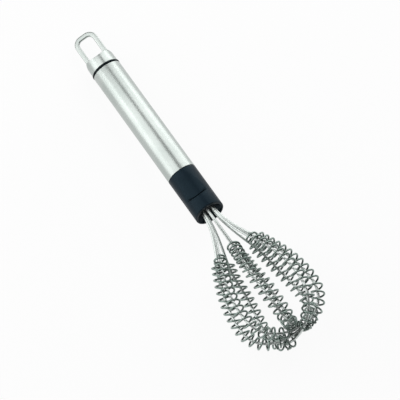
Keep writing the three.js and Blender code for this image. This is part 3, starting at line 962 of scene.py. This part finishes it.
# %% Floor
FLOOR_REACH = 4.0
FLOOR_LEVEL = -0.6 * MM
FLOOR_GLOW = 0.92
floor_material, tree, shader = new_material("floor")
shader.inputs["Base Color"].default_value = (0.9, 0.9, 0.9, 1)
shader.inputs["Roughness"].default_value = 0.9
shader.inputs["Specular IOR Level"].default_value = 0.0
white = tree.nodes.new("ShaderNodeEmission")
white.inputs["Strength"].default_value = 1.0
rays = tree.nodes.new("ShaderNodeLightPath")
seen = tree.nodes.new("ShaderNodeMath")
seen.operation = "MAXIMUM"
seen_all = tree.nodes.new("ShaderNodeMath")
seen_all.operation = "MAXIMUM"
share = tree.nodes.new("ShaderNodeMath")
share.operation = "MULTIPLY"
share.inputs[1].default_value = FLOOR_GLOW
mixed = tree.nodes.new("ShaderNodeMixShader")
tree.links.new(rays.outputs["Is Camera Ray"], seen.inputs[0])
tree.links.new(rays.outputs["Is Glossy Ray"], seen.inputs[1])
tree.links.new(seen.outputs["Value"], seen_all.inputs[0])
tree.links.new(rays.outputs["Is Transmission Ray"], seen_all.inputs[1])
tree.links.new(seen_all.outputs["Value"], share.inputs[0])
tree.links.new(share.outputs["Value"], mixed.inputs["Fac"])
tree.links.new(shader.outputs["BSDF"], mixed.inputs[1])
tree.links.new(white.outputs["Emission"], mixed.inputs[2])
tree.links.new(mixed.outputs["Shader"], tree.nodes["Material Output"].inputs["Surface"])
bm = bmesh.new()
bmesh.ops.create_grid(bm, x_segments=1, y_segments=1, size=FLOOR_REACH)
bmesh.ops.translate(bm, vec=(0, 0, FLOOR_LEVEL), verts=bm.verts)
floor_mesh = bpy.data.meshes.new("floor")
bm.to_mesh(floor_mesh)
bm.free()
floor_mesh.materials.append(floor_material)
floor = bpy.data.objects.new("floor", floor_mesh)
bpy.context.scene.collection.objects.link(floor)
print("floor reaches", FLOOR_REACH, "m each way")

# %% [markdown]
# ## Soft boxes
# Bright metal shows what stands round it. An arch of four soft boxes stands over the handle and leaves a
# narrow gap, which draws the dark line down the tube. The outer boxes are brighter, which draws the pale
# bands. The arch is short along the whisk, so the wires of the head, which turn every way, also mirror the
# dim dome behind it and keep their contrast.

# %% Lamps
BOX_DISTANCE = 1.0
BOX_DEPTH = 0.93


def around_tube(degrees):
    """The direction that the tube mirrors at half this angle from its middle line, on the image's right."""
    turned_by = math.radians(degrees)
    return (-math.sin(LEAN_TO_HEAD) * axis
            + math.cos(LEAN_TO_HEAD) * (math.cos(turned_by) * thumb - math.sin(turned_by) * across))


def soft_box(name, first, last, brightness):
    """A flat lamp that the tube mirrors between two angles. Brightness is power over area and pi."""
    facing = around_tube((first + last) / 2).normalized()
    along = (axis - axis.dot(facing) * facing).normalized()
    lamp = bpy.data.lights.new(name, "AREA")
    lamp.shape = "RECTANGLE"
    lamp.size = 2 * BOX_DISTANCE * math.tan(math.radians(last - first) / 2)
    lamp.size_y = BOX_DEPTH
    lamp.energy = brightness * math.pi * lamp.size * lamp.size_y
    box = bpy.data.objects.new(name, lamp)
    box_turn = Matrix((along.cross(facing), along, facing)).transposed().to_4x4()
    box.matrix_world = Matrix.Translation(aim + facing * BOX_DISTANCE) @ box_turn
    box.visible_camera = False
    bpy.context.scene.collection.objects.link(box)
    print(name, "gives", round(lamp.energy, 1), "W")


soft_box("outer_left_box", first=-72, last=-38, brightness=1.9)
soft_box("left_box", first=-38, last=10, brightness=1.45)
soft_box("right_box", first=32, last=74, brightness=1.55)
soft_box("outer_right_box", first=74, last=106, brightness=1.95)

# %% [markdown]
# ## Dome
# The rest of the studio is dim. A ramp over the height of a direction makes the dome a little lighter
# above than at its foot, and the plain view transform keeps the colours as they are set.

# %% Dome
world = bpy.data.worlds.new("studio")
bpy.context.scene.world = world
world.use_nodes = True
tree = world.node_tree
background = tree.nodes["Background"]
direction = tree.nodes.new("ShaderNodeTexCoord")
height = tree.nodes.new("ShaderNodeSeparateXYZ")
ramp = tree.nodes.new("ShaderNodeValToRGB")
ramp.color_ramp.elements[0].position = 0.15
ramp.color_ramp.elements[0].color = (0.12, 0.12, 0.12, 1)
ramp.color_ramp.elements[1].position = 0.75
ramp.color_ramp.elements[1].color = (0.30, 0.30, 0.30, 1)
tree.links.new(direction.outputs["Generated"], height.inputs["Vector"])
tree.links.new(height.outputs["Z"], ramp.inputs["Fac"])
tree.links.new(ramp.outputs["Color"], background.inputs["Color"])
background.inputs["Strength"].default_value = 1.0
bpy.context.scene.view_settings.view_transform = "Standard"
print("studio ready")
